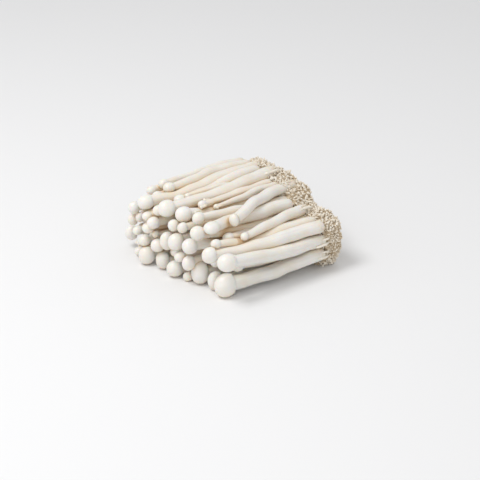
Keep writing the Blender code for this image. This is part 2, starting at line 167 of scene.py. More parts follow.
@dataclass
class Bed:
    """Lays the mushrooms on one another, as the part's source does.

    Its first fields are that source's named values. After settle, line and radii hold the place and
    the radius of every mushroom at each station along x.
    """

    centre: Pair = (0.93, 1.06)
    face_near: Pair = (-26.0, -38.0)
    face_slant: float = 0.26
    face_turn_y: float = 15.0
    face_turn: float = 0.012
    least_radius: float = 1.8
    radius_per_width: float = 0.19
    neck_share: float = 0.70
    neck_to_full: float = 0.6
    wave: float = 1.8
    arch: float = 2.0
    foot_x: float = 35.0
    foot_near: float = -38.5
    foot_far: float = 48.0
    foot_row_up: tuple[float, ...] = (0, 7.4, 13.4, 20.6, 25.4, 31.4)
    row_near_step: tuple[float, ...] = (0, 0, 7, 1, 17, 37)
    row_far_step: tuple[float, ...] = (1, 0, 0, 1, 3, 4)
    foot_unders: Pairs = ((-40, 7), (-34, 6.5), (-26, 1.5), (-20, 0.9))
    foot_tops: Pairs = (
        (-40, 26), (-35, 28.5), (-28, 30), (-19, 33), (-10, 35.5), (0, 38), (10, 38.5), (30, 38),
        (38, 37), (44, 34), (48, 29),
    )
    station_step: float = 3.0
    last_station_x: float = -51.0
    rounds: int = 450
    gap: float = 0.45
    push: float = 0.35
    pushes: int = 2
    sag: float = 0.04
    smoothing: float = 0.35
    turns: Pair = (0.7, 1.4)
    floor_sink: float = 0.35
    seed: int = 11
    touch: float = 0.24
    cut_radius: float = 0.3
    cap_middle: float = -0.08
    cap_halves: Triple = (0.46, 0.5, 0.5)
    rests: int = 8
    stations: Array = field(init=False)
    line: Array = field(init=False)
    radii: Array = field(init=False)
    plants: Array = field(init=False)

    @property
    def shift(self) -> Array:
        """How far the origin is from the measured one."""
        return np.array((*self.centre, 0.0))

    def face_x(self, across: float) -> float:
        """Where the front of a row of caps is, at this place across.

        Args:
            across: The place, its y.

        Returns:
            Its x.
        """
        turned = max(0.0, across - self.face_turn_y) ** 2
        near_x, near_y = self.face_near
        return near_x - self.face_slant * (across - near_y) + self.face_turn * turned

    def plant(self) -> Array:
        """Place every mushroom's cap and foot.

        Returns:
            Rows of cap width, stem radius, head x, y, z, foot y, z and level, for all mushrooms.
        """
        tops_y, tops_z = np.array(self.foot_tops, float).T
        unders_y, unders_z = np.array(self.foot_unders, float).T
        top_row = len(CAP_ROWS) - 1
        plants = []
        for row, caps in enumerate(CAP_ROWS):
            widths = np.array([cap.width for cap in caps])
            radii = self.least_radius + self.radius_per_width * widths
            near = self.foot_near + self.row_near_step[row]
            far = self.foot_far - self.row_far_step[row]
            share = 2 * radii + (far - near - 2 * radii.sum()) / len(caps)
            across = near + np.cumsum(share) - share / 2
            for cap, radius, foot_y in zip(caps, radii, across):
                top = np.interp(foot_y, tops_y, tops_z)
                under = np.interp(foot_y, unders_y, unders_z)
                foot_z = min(under + radius + self.foot_row_up[row], top - radius)
                head = (self.face_x(cap.across) + cap.back, cap.across, cap.up)
                plants.append((cap.width, radius, *head, foot_y, foot_z, row / top_row))
        return np.array(plants).T

    def way(self, x: Array | float, head_x: Array | float) -> Array:
        """How far x is on the way from the feet, 0, to a head, 1."""
        return np.clip((self.foot_x - x) / (self.foot_x - head_x), 0, 1)

    def swell(self, x: Array | float, head_x: Array | float, neck_length: float) -> Array:
        """How far a stem has swollen at x, from its neck, 0, to its full radius, 1."""
        return np.clip((1 - self.way(x, head_x)) / neck_length, 0, 1) ** 0.8

    def radii_at(self, x: float) -> Array:
        """Radius of every mushroom where x cuts it; 0 where x is in front of its cap.

        Args:
            x: Where the cut is.

        Returns:
            One radius a mushroom.
        """
        width, stem, head_x = self.plants[:3]
        swell = self.swell(x, head_x, self.neck_to_full)
        stem_here = stem * (self.neck_share + (1 - self.neck_share) * swell)
        along = (x - head_x) / (0.475 * width)
        cap_here = np.sqrt(np.clip(1 - along * along, 0, None)) * width / 2
        return np.maximum(cap_here, np.where(x > head_x, stem_here, 0))

    def settle(self) -> None:
        """Lay the mushrooms down: neighbours push apart, the floor holds, and stems stay smooth."""
        self.plants = self.plant()
        width, _, head_x, head_y, head_z, foot_y, foot_z, level = self.plants
        count = len(width)
        random = np.random.default_rng(self.seed)
        stations = np.arange(self.foot_x, self.last_station_x, -self.station_step)
        radii = np.array([self.radii_at(x) for x in stations])
        way = self.way(stations[:, None], head_x)
        ease = 0.5 * way + 0.5 * way * way * (3 - 2 * way)
        middle = np.sin(math.pi * way)
        phase = random.uniform(0, math.tau, (2, 1, count))
        turns = random.uniform(*self.turns, (2, 1, count))
        lift = self.wave * (0.2 + 0.8 * level ** 2) * middle
        wave = lift * np.sin(phase + math.tau * turns * way)
        line_y = foot_y + (head_y - foot_y) * ease + wave[0]
        line_z = foot_z + (head_z - foot_z) * ease + 0.5 * wave[1] + self.arch * middle * level
        line = np.stack([line_y, line_z], axis=2)
        place = line.copy()
        present = radii > 0
        pairs = present[:, :, None] & present[:, None, :] & ~np.eye(count, dtype=bool)
        reach = radii[:, :, None] + radii[:, None, :] + self.gap
        hold = 0.015 + 0.12 * way ** 6 + 0.10 * (1 - way) ** 4
        for settled in range(self.rounds):
            loose = 1 - settled / self.rounds
            place += (line - place) * (hold * loose)[..., None]
            place[..., 1] -= self.sag * loose * middle
            for _ in range(self.pushes):
                apart = place[:, :, None, :] - place[:, None, :, :]
                distance = np.linalg.norm(apart, axis=3) + 1e-9
                deep = np.where(pairs, np.clip(reach - distance, 0, None), 0)
                place += ((self.push * deep / distance)[..., None] * apart).sum(axis=2)
                place[..., 1] = np.maximum(place[..., 1], radii - self.floor_sink)
            smooth = self.smoothing * (0.25 + 0.75 * loose)
            place[1:-1] += smooth * ((place[:-2] + place[2:]) / 2 - place[1:-1])
        self.stations = stations[::-1]
        self.line = place[::-1]
        self.radii = radii[::-1]

    def at(self, index: int, x: Array) -> Array:
        """Points of one mushroom's line, curved smoothly through its stations.

        Args:
            index: Which mushroom.
            x: Where along x the points are.

        Returns:
            One row (x, y, z) a point. Past the foot, the line runs straight on.
        """
        inner = np.clip(x, self.stations[0], self.foot_x)
        way = (inner - self.stations[0]) / self.station_step
        low = np.clip(np.floor(way).astype(int), 0, len(self.stations) - 2)
        share = (way - low)[:, None]
        values = self.line[:, index]
        last = len(values) - 1
        before = values[np.clip(low - 1, 0, last)]
        start, end = values[low], values[low + 1]
        after = values[np.clip(low + 2, 0, last)]
        slope_start, slope_end = (end - before) / 2, (after - start) / 2
        square, cube = share ** 2, share ** 3
        spot = (
            (2 * cube - 3 * square + 1) * start + (cube - 2 * square + share) * slope_start
            + (3 * square - 2 * cube) * end + (cube - square) * slope_end
        )
        foot_slope = (values[-1] - values[-3]) / (2 * self.station_step)
        spot = spot + np.clip(x - self.foot_x, 0, None)[:, None] * foot_slope
        return np.column_stack([x, spot])

    def cut(self, points: Array) -> tuple[Array, Array]:
        """Middle and radius of every mushroom in the cuts across the bunch that points lie in.

        Args:
            points: Rows that start with x.

        Returns:
            The middles (y, z) and the radii, one row a point and one column a mushroom.
        """
        way = (points[:, 0] - self.stations[0]) / self.station_step
        way = np.clip(way, 0, len(self.stations) - 1.001)
        low = np.floor(way).astype(int)
        share = (way - low)[:, None]
        middle = self.line[low] * (1 - share[..., None]) + self.line[low + 1] * share[..., None]
        return middle, self.radii[low] * (1 - share) + self.radii[low + 1] * share

    def gaps(self, points: Array) -> Array:
        """Distance from points to the surface of every mushroom, in a cut across the bunch.

        Args:
            points: Rows (x, y, z).

        Returns:
            One row a point and one column a mushroom; large where a mushroom doesn't reach.
        """
        middle, radii = self.cut(points)
        away = np.hypot(middle[..., 0] - points[:, 1:2], middle[..., 1] - points[:, 2:3])
        return np.where(radii > self.cut_radius, away - radii - self.touch, FAR)

    def cap_gaps(self, points: Array) -> Array:
        """Distance from points to every cap, one row a point and one column a mushroom.

        Args:
            points: Rows (x, y, z).

        Returns:
            The distances; below 0 inside a cap.
        """
        width, _, head_x = self.plants[:3]
        starts = head_x + self.cap_middle * width
        middle = np.array([self.at(index, np.array([x]))[0] for index, x in enumerate(starts)])
        stretch = np.array([(cap.deep, 1.0, cap.tall) for row in CAP_ROWS for cap in row])
        half = np.array(self.cap_halves) * width[:, None] * stretch
        away = np.linalg.norm((points[:, None] - middle) / half, axis=2)
        return (away - 1) * (width / 2)

    def rest_on(self, points: Array, lift: Array) -> Array:
        """Move points across the bunch until each lies on its nearest mushroom.

        Args:
            points: Rows (x, y, z).
            lift: How far off the flesh each ends.

        Returns:
            The moved points.
        """
        moved = points.copy()
        every = np.arange(len(points))
        for _ in range(self.rests):
            gaps = self.gaps(moved)
            nearest = gaps.argmin(axis=1)
            middle, _ = self.cut(moved)
            away = unit(moved[:, 1:] - middle[every, nearest])
            moved[:, 1:] += away * (lift - gaps[every, nearest])[:, None]
        return moved


# Meshes.


def ring_angles(sides: int) -> Array:
    """Angles of the points in a ring."""
    return np.linspace(0, math.tau, sides, endpoint=False)


def ways_across(along: Array, upright: Array | Triple = (0.0, 0.0, 1.0)) -> tuple[Array, Array]:
    """Two ways that are square to a line and to each other: to its side, and up from it."""
    across = unit(np.cross(along, upright))
    return across, np.cross(across, along)


def ways_round(turn: Array, across: Array, upward: Array) -> Array:
    """Ways out from a line, one at each turn round it."""
    return np.cos(turn)[:, None] * across[..., None, :] + np.sin(turn)[:, None] * upward[..., None, :]


def tube_faces(rings: int, sides: int) -> list[list[int]]:
    """Faces of rings of points, closed by a pole before the first ring and after the last.

    Args:
        rings: Number of rings.
        sides: Points in a ring.

    Returns:
        Point numbers of each face; point 0 is the first pole, and the last point is the other.
    """
    faces = []
    end = 1 + rings * sides
    for side in range(sides):
        after = (side + 1) % sides
        faces.append([0, 1 + after, 1 + side])
        for ring in range(rings - 1):
            low, high = 1 + ring * sides, 1 + (ring + 1) * sides
            faces.append([low + side, low + after, high + after, high + side])
        last = 1 + (rings - 1) * sides
        faces.append([last + side, last + after, end])
    return faces


def put(name: str, data: bpy.types.ID) -> Object:
    """Make an object and link it to the scene.

    Args:
        name: Its name.
        data: What it shows: a mesh, curve, light or camera.

    Returns:
        The object.
    """
    thing = bpy.data.objects.new(name, data)
    bpy.context.scene.collection.objects.link(thing)
    return thing


class MeshPile:
    """Collects the points, faces and painted values of many shapes, and makes them one piece."""

    def __init__(self, *values: str) -> None:
        """Start empty, with the names of the values that every point carries."""
        self.points: list[Array] = []
        self.faces: list[list[int]] = []
        self.kinds: list[int] = []
        self.values: dict[str, list[Array]] = {name: [] for name in values}
        self.count = 0

    def add(
        self, points: Array, faces: list[list[int]], kinds: list[int] | None = None, **values: Array
    ) -> None:
        """Add one shape.

        Args:
            points: Rows (x, y, z) in millimetres.
            faces: Point numbers of each face, counted from this shape's first point.
            kinds: Material number of each face; without it, they are all 0.
            **values: Each painted value, one number or row a point.
        """
        self.points.append(points)
        self.faces.extend([[corner + self.count for corner in face] for face in faces])
        self.kinds.extend(kinds or [0] * len(faces))
        for name, kept in self.values.items():
            kept.append(values[name])
        self.count += len(points)

    def build(self, name: str, materials: list[Material], shift: Array | float = 0.0) -> Object:
        """Make the piece, and hold it inside the box of the solids.

        Args:
            name: Its name.
            materials: Its materials, in the order of their numbers.
            shift: How far the origin is from the measured one.

        Returns:
            The mesh object, linked to the scene.
        """
        points = np.clip((np.vstack(self.points) - shift) * MM, *np.array(CAD_BOX))
        mesh = bpy.data.meshes.new(name)
        mesh.from_pydata(points, [], self.faces)
        for material in materials:
            mesh.materials.append(material)
        mesh.polygons.foreach_set("material_index", self.kinds)
        for value_name, kept in self.values.items():
            values = np.concatenate(kept).astype(np.float32)
            kind, part = ("FLOAT_VECTOR", "vector") if values.ndim == 2 else ("FLOAT", "value")
            mesh.attributes.new(value_name, kind, "POINT").data.foreach_set(part, values.ravel())
        mesh.shade_smooth()
        mesh.update()
        return put(name, mesh)


class Flesh(Enum):
    """Material numbers of a mushroom."""

    STEM = 0
    CAP = 1
    GILLS = 2


@dataclass(frozen=True)
class Stem:
    """A grown stem, from its foot to the margin: its line, size and rings of points."""

    centres: Array
    along: Array
    radii: Array
    length: Array
    rings: Array


@dataclass
class Mushroom:
    """One mushroom: a stem with its blunt foot, the gills under the margin, and the cap.

    foot_round pairs mm from the foot's end with shares of the stem's radius. margin and dome pair
    steps, as shares of the cap's width, with radii, as shares of its half width.
    """

    cap: Cap
    index: int
    bed: Bed
    ring_step: float = 1.3
    foot_play: float = 0.5
    foot_round: Pairs = ((0.0, 0.22), (0.15, 0.45), (0.5, 0.68), (1.1, 0.84), (2.0, 0.95), (3.2, 1.0))
    wander: float = 0.22
    wander_pitches: Pair = (23.0, 17.0)
    neck_length: float = 0.55
    swells: Pairs = ((0.022, 27.0), (0.012, 11.0))
    lobes: tuple[tuple[int, float], ...] = ((2, 0.035), (3, 0.018), (5, 0.010), (7, 0.006))
    lobe_pitch: float = 18.0
    lobe_play: Pair = (0.5, 1.3)
    rim_share: float = 0.35
    tilt: float = 0.05
    inner_rim: float = 0.70
    lip: float = 0.05
    gill_step: Pair = (0.10, 0.35)
    gill_rings: int = 2
    margin_full: float = 0.3
    margin: Pairs = ((0.050, -0.02), (0.018, 0.0), (-0.004, 0.04), (-0.008, 0.09), (0.006, 0.15))
    dome: Pairs = (
        (0.045, 0.885), (0.10, 0.935), (0.17, 0.972), (0.25, 0.995), (0.33, 1.0), (0.42, 0.985),
        (0.51, 0.95), (0.60, 0.89), (0.68, 0.81), (0.75, 0.71), (0.81, 0.585), (0.855, 0.45),
        (0.882, 0.30), (0.894, 0.15),
    )
    apex: float = 0.897
    bulges: tuple[tuple[int, float, float], ...] = ((2, 0.005, 0.022), (3, 0.0, 0.012))
    fibre_round: float = 10.0
    fibre_apart: float = 97.0
    # Painted shade: how far and how strongly neighbours, caps, the cap above and the floor shade the
    # flesh.
    shade_reach: float = 1.5
    front_shade: float = 0.4
    cap_reach: float = 1.1
    cap_shade_reach: float = 0.9
    under_shade: float = 0.45
    floor_shade: float = 0.8
    floor_reach: float = 2.2
    full_shade: float = 1.6

    @property
    def sides(self) -> int:
        """Points round the mushroom."""
        return 36 if self.cap.width > 7 else 28

    @property
    def rim_x(self) -> float:
        """Where the stem ends, at the margin of the cap."""
        return self.bed.plants[2, self.index] + self.rim_share * self.cap.width

    def stem_radius(self, x: Array) -> Array:
        """Radius of the stem along x, from the full foot to the narrow neck.

        Args:
            x: Where along the stem.

        Returns:
            The radii there.
        """
        bed = self.bed
        width, stem, head_x = bed.plants[:3, self.index]
        full = stem * self.cap.stout + bed.touch
        neck = min(stem * self.cap.neck + bed.touch, self.cap.slim * width)
        return neck + (full - neck) * bed.swell(x, head_x, self.neck_length)

    def grow_stem(self, random: Generator) -> Stem:
        """Grow the stem from its blunt foot to its neck.

        Args:
            random: The draw that makes each mushroom its own.

        Returns:
            The stem.
        """
        bed = self.bed
        foot_end = bed.foot_x + self.cap.foot + random.uniform(-self.foot_play, self.foot_play)
        round_x = [foot_end - along for along, _ in self.foot_round]
        steps = round((round_x[-1] - self.rim_x) / self.ring_step)
        x = np.array(round_x[:-1] + list(np.linspace(round_x[-1], self.rim_x, steps + 1)))
        centres = bed.at(self.index, x)
        between = np.sin(math.pi * bed.way(x, self.rim_x))
        for axis_number, pitch in enumerate(self.wander_pitches, 1):
            start = random.uniform(0, math.tau)
            centres[:, axis_number] += self.wander * between * np.sin(x * math.tau / pitch + start)
        radii = self.stem_radius(x)
        radii[: len(self.foot_round)] *= [share for _, share in self.foot_round]
        length = foot_end - x
        for (size, pitch), start in zip(self.swells, random.uniform(0, math.tau, len(self.swells))):
            radii *= 1 + size * np.sin(math.tau * length / pitch + start)
        turn = ring_angles(self.sides)
        ring = np.ones((len(x), self.sides))
        for count, size in self.lobes:
            phase, drift = random.uniform(0, math.tau), random.uniform(-1, 1)
            wander = phase + drift * length[:, None] / self.lobe_pitch
            ring += size * random.uniform(*self.lobe_play) * np.cos(count * turn + wander)
        along = unit(np.gradient(centres, axis=0))
        out = ways_round(turn, *ways_across(along))
        rings = centres[:, None] + out * (radii[:, None] * ring)[..., None]
        return Stem(centres, along, radii, length, rings)

    def grow_cap(self, stem: Stem, random: Generator) -> tuple[Array, Array, Array]:
        """Grow the gills and the cap on a stem.

        Args:
            stem: The stem.
            random: The draw that makes each mushroom its own.

        Returns:
            How far each ring is past the stem, the rings, and the tip.
        """
        cap, rim, turn = self.cap, stem.centres[-1], ring_angles(self.sides)
        axis = unit(stem.along[-1] + [0.0, *random.normal(0, self.tilt, 2)])
        neck = stem.radii[-1] / (cap.width / 2)
        inner = max(self.inner_rim, neck + self.lip)
        gill_step, gill_wide = self.gill_step
        profile = [(gill_step, neck + gill_wide * (inner - neck))]
        flare = (1 - inner) / self.margin_full
        profile += [(step, inner + wide * flare) for step, wide in self.margin]
        steps, wides = np.array(profile + list(self.dome)).T
        steps = steps * cap.width * cap.deep
        wides = np.minimum(wides, 1.0) * cap.width / 2
        bulge = np.ones(self.sides)
        for count, least, most in self.bulges:
            bulge += random.uniform(least, most) * np.cos(count * (turn - random.uniform(0, 3.2)))
        out = ways_round(turn, *ways_across(axis))
        rings = rim + steps[:, None, None] * axis + (wides[:, None] * bulge)[..., None] * out
        rings[..., 2] = rim[2] + (rings[..., 2] - rim[2]) * cap.tall
        return steps, rings, rim + axis * self.apex * cap.width * cap.deep

    def crevice(self, points: Array, stem: Stem) -> Array:
        """Painted shade: how much the neighbours, the cap above and the floor shade each point, from
        0 to 1; the finish paints it in as tan and brown.

        Args:
            points: Points of this mushroom, the stem's first.
            stem: Its stem.

        Returns:
            One number a point.
        """
        reach = self.shade_reach * (1 + self.front_shade * smoothstep(-points[:, :1], -5, 20))
        reach[1 + len(stem.rings) * self.sides:] = self.cap_reach
        close = np.zeros(len(points))
        for gaps, far in (
            (self.bed.gaps(points), reach), (self.bed.cap_gaps(points), self.cap_shade_reach),
        ):
            gaps[:, self.index] = FAR
            close += np.exp(-np.clip(gaps, 0, None) / far).sum(axis=1)
        under = np.clip((stem.centres[-1, 2] - points[:, 2]) / (self.cap.width / 2), 0, 1)
        close += self.under_shade * under * (points[:, 0] < self.rim_x + 0.5)
        close += self.floor_shade * np.exp(-np.clip(points[:, 2], 0, None) / self.floor_reach)
        return np.clip(close / self.full_shade, 0, 1)

    def grow(self, pile: MeshPile, random: Generator) -> None:
        """Add this mushroom to a pile.

        Args:
            pile: Where it goes.
            random: The draw that makes each mushroom its own.
        """
        stem = self.grow_stem(random)
        steps, cap_rings, tip = self.grow_cap(stem, random)
        rings = np.concatenate([stem.rings, cap_rings])
        points = np.vstack([stem.centres[:1], rings.reshape(-1, 3), tip])
        kinds = [Flesh.STEM] * len(stem.rings) + [Flesh.GILLS] * self.gill_rings
        kinds += [Flesh.CAP] * (len(rings) + 1 - len(kinds))
        turn = ring_angles(self.sides)
        length = np.concatenate([stem.length, stem.length[-1] + steps])[:, None]
        spokes = (np.cos(turn) * self.fibre_round, np.sin(turn) * self.fibre_round, length)
        fibre = np.stack(np.broadcast_arrays(*spokes), axis=2).reshape(-1, 3)
        fibre += (0, 0, self.fibre_apart * self.index)
        # Each point carries its painted shade, from its neighbours, the caps, the cap above and the
        # floor.
        pile.add(
            points, tube_faces(len(rings), self.sides), [kind.value for kind in kinds] * self.sides,
            fibre=np.vstack([fibre[:1], fibre, fibre[-1:]]), crevice=self.crevice(points, stem),
            from_foot=points[:, 0], tone=np.full(len(points), random.uniform(0, 1)),
        )


@dataclass
class Tier:
    """One row of mushrooms, from the near side to the far side, as one piece."""

    row: int
    bed: Bed
    materials: list[Material]
    first_seed: int = 1000

    def build(self) -> Object:
        """Grow the row's mushrooms.

        Returns:
            The piece.
        """
        first = sum(len(caps) for caps in CAP_ROWS[: self.row])
        # Each point carries painted shade along with its fibres, its place and its tone.
        pile = MeshPile("fibre", "crevice", "from_foot", "tone")
        for index, cap in enumerate(CAP_ROWS[self.row], first):
            Mushroom(cap, index, self.bed).grow(pile, np.random.default_rng(self.first_seed + index))
        return pile.build(f"mushrooms_row_{self.row + 1}", self.materials, self.bed.shift)


def rows_of(kept: Array | list[int], *columns: Array) -> list[Array]:
    """The same rows of several columns."""
    return [column[kept] for column in columns]


def thin_out(spacing: float, points: Array, *columns: Array) -> list[Array]:
    """Keep only points that are at least a spacing apart, in their order.

    Args:
        spacing: The least distance between two that are kept.
        points: Rows (x, y, z).
        *columns: What else is known of each point.

    Returns:
        The points that stay, and their rows of the other columns.
    """
    cells: dict[tuple[int, ...], list[int]] = {}
    kept = []
    for number, point in enumerate(points):
        cell = tuple(int(math.floor(value / spacing)) for value in point)
        near = (
            other for step in product((-1, 0, 1), repeat=3)
            for other in cells.get(tuple(map(sum, zip(cell, step))), ())
        )
        if all(math.dist(point, points[other]) >= spacing for other in near):
            cells.setdefault(cell, []).append(number)
            kept.append(number)
    return rows_of(kept, points, *columns)


@dataclass(frozen=True)
class PinCrop:
    """Tiny pins, the mushrooms that never grew: each a short bent stalk with a blunt head."""

    name: str
    material: Material
    sides: int = 8
    bend: float = 0.30
    flat: float = 0.22
    steep: float = 0.9
    profile: Pairs = ((-0.30, 0.92), (0.20, 0.84), (0.55, 0.92), (0.80, 0.88), (0.95, 0.55))

    def build(
        self, roots: Array, axes: Array, radii: Array, heights: Array, random: Generator
    ) -> Object:
        """Grow the pins.

        Args:
            roots: Where each starts, rows (x, y, z).
            axes: Which way each grows, rows of length one.
            radii: Radius of each head.
            heights: Length of each.
            random: The draw that gives each its tone.

        Returns:
            The piece.
        """
        count = len(roots)
        upright = np.where(np.abs(axes[:, 2:]) < self.steep, [[0.0, 0.0, 1.0]], [[1.0, 0.0, 0.0]])
        across, upward = ways_across(axes, upright)
        steps, wides = np.array(self.profile).T
        inner = np.clip(steps, 0, 1)
        bend = unit(random.normal(size=(count, 3))) * heights[:, None] * self.bend
        wide = 1 + self.flat * random.uniform(-1, 1, (count, 1))
        out = ways_round(ring_angles(self.sides), wide * across, (2 - wide) * upward)
        middle = (
            roots[:, None] + (steps * heights[:, None])[..., None] * axes[:, None]
            + (inner ** 2)[:, None] * bend[:, None]
        )
        rings = middle[:, :, None] + (wides * radii[:, None])[..., None, None] * out[:, None]
        tips = roots + axes * heights[:, None] + bend
        points = np.concatenate([middle[:, :1], rings.reshape(count, -1, 3), tips[:, None]], axis=1)
        each = points.shape[1]
        pin = tube_faces(len(steps), self.sides)
        starts = range(0, count * each, each)
        faces = [[corner + start for corner in face] for start in starts for face in pin]
        shares = np.concatenate([[0.0], np.repeat(inner, self.sides), [1.0]])
        tones = random.uniform(0, 1, count)
        pile = MeshPile("tip", "tone")
        pile.add(
            points.reshape(-1, 3), faces, tip=np.tile(shares, count), tone=np.repeat(tones, each)
        )
        return pile.build(self.name, [self.material])


@dataclass
class RootBase:
    """The lumpy slab that the mushrooms grow from."""

    bed: Bed
    name: str = "root_base_core"
    front_x: float = 29.5
    low_front_x: float = 36.0
    back_x: float = 47.0
    creep: Pairs = (
        (-40, 36.0), (-30, 35.0), (-22, 32.5), (-12, 31), (-5, 30), (8, 30), (14, 31.5), (20, 33.5),
        (50, 34.5),
    )
    creep_up: Pair = (15.0, 25.0)
    slant: float = 0.06
    edge: float = 2.5
    edge_steps: int = 3
    outline: Pairs = (
        (-28, -1.0), (-33, 3.5), (-36.5, 10), (-37.5, 17), (-36, 23.5), (-32.5, 27.5), (-26, 28.5),
        (-20.5, 28), (-16, 28), (-12, 31), (-8, 33.5), (-3, 36), (4, 37), (18, 37.4), (30, 37.4),
        (38, 36.4), (44, 33.5), (47.5, 27), (48, 14), (46.5, 5), (43, -1.0),
    )
    cell: float = 0.7
    knob_pitch: float = 5.2
    knob_height: float = 1.8
    knob_steep: float = 1.5
    grain_pitch: float = 1.6
    grain_height: float = 0.5
    sink: float = 0.25

    def block(self) -> Mesh:
        """The slab's outline, thickened and with round edges.

        Returns:
            The mesh.
        """
        curve = bpy.data.curves.new("root_base_outline", "CURVE")
        curve.dimensions = "2D"
        curve.fill_mode = "BOTH"
        curve.extrude = ((self.back_x - self.front_x) / 2 - self.edge) * MM
        curve.bevel_depth = self.edge * MM
        curve.offset = -self.edge * MM
        curve.bevel_resolution = self.edge_steps
        spline = curve.splines.new("POLY")
        spline.points.add(len(self.outline) - 1)
        for point, (across, up) in zip(spline.points, self.outline):
            point.co = (across * MM, up * MM, 0.0, 1.0)
        spline.use_cyclic_u = True
        drawn = put(curve.name, curve)
        middle = (self.back_x + self.front_x) / 2 * MM
        drawn.matrix_world = Matrix(((0, 0, 1, middle), (1, 0, 0, 0), (0, 1, 0, 0), (0, 0, 0, 1)))
        mesh = self.shown(drawn)
        mesh.transform(drawn.matrix_world)
        bpy.data.objects.remove(drawn, do_unlink=True)
        work = bmesh.new()
        work.from_mesh(mesh)
        bmesh.ops.remove_doubles(work, verts=work.verts, dist=0.00001)
        bmesh.ops.recalc_face_normals(work, faces=work.faces)
        work.to_mesh(mesh)
        work.free()
        return mesh

    @staticmethod
    def shown(thing: Object) -> Mesh:
        """The mesh of an object as it is shown, with its modifiers.

        Args:
            thing: The object.

        Returns:
            A new mesh.
        """
        bpy.context.view_layer.update()
        depsgraph = bpy.context.evaluated_depsgraph_get()
        return bpy.data.meshes.new_from_object(thing.evaluated_get(depsgraph))

    def build(self, material: Material) -> Object:
        """Make the slab, meshed evenly and knobbed.

        Args:
            material: Its finish.

        Returns:
            The piece.
        """
        slab = put(self.name, self.block())
        remesh = slab.modifiers.new("even", "REMESH")
        remesh.mode = "VOXEL"
        remesh.voxel_size = self.cell * MM
        even = self.shown(slab)
        slab.modifiers.clear()
        slab.data = even
        self.knob(even)
        even.materials.clear()
        even.materials.append(material)
        even.shade_smooth()
        even.update()
        return slab

    def front(self, across: Array, up: Array) -> Array:
        """Where the base's front is: it creeps forward over the feet on top of the bunch.

        Args:
            across: The place, its y.
            up: Its z.

        Returns:
            Its x.
        """
        places, edges = np.array(self.creep, float).T
        crept = np.interp(across, places, edges)
        return self.low_front_x + (crept - self.low_front_x) * smoothstep(up, *self.creep_up)

    def knob(self, mesh: Mesh) -> None:
        """Slant the back and raise the knobs, just under the height that the pins will reach.

        Args:
            mesh: The slab's mesh, still in the measured place; it ends in the part's.
        """
        normals = [vertex.normal.copy() for vertex in mesh.vertices]
        shift = Vector(self.bed.shift)
        for vertex, normal in zip(mesh.vertices, normals):
            spot = vertex.co / MM
            way = (spot.x - self.front_x) / (self.back_x - self.front_x)
            spot.x = self.back_x - (1 - way) * (self.back_x - float(self.front(spot.y, spot.z)))
            spot.x -= self.slant * (spot.y - self.bed.foot_near) * way
            distances, _ = noise.voronoi(spot / self.knob_pitch)
            height = 1.0 - min(1.0, distances[0] * self.knob_steep) ** 2
            fine = noise.noise(spot / self.grain_pitch) * self.grain_height
            spot += normal * ((height - 0.5) * self.knob_height - self.sink + fine)
            spot = (spot - shift) * MM
            vertex.co = [min(max(value, low), high) for value, low, high in zip(spot, *CAD_BOX)]


@dataclass(frozen=True)
class Sprout:
    """A stem that stopped growing early: where its tip lies, and how thick it is."""

    tip_x: float
    across: float
    up: float
    radius: float
    foot_x: float = 38.0
    head: float = 0.55
    laid: bool = True


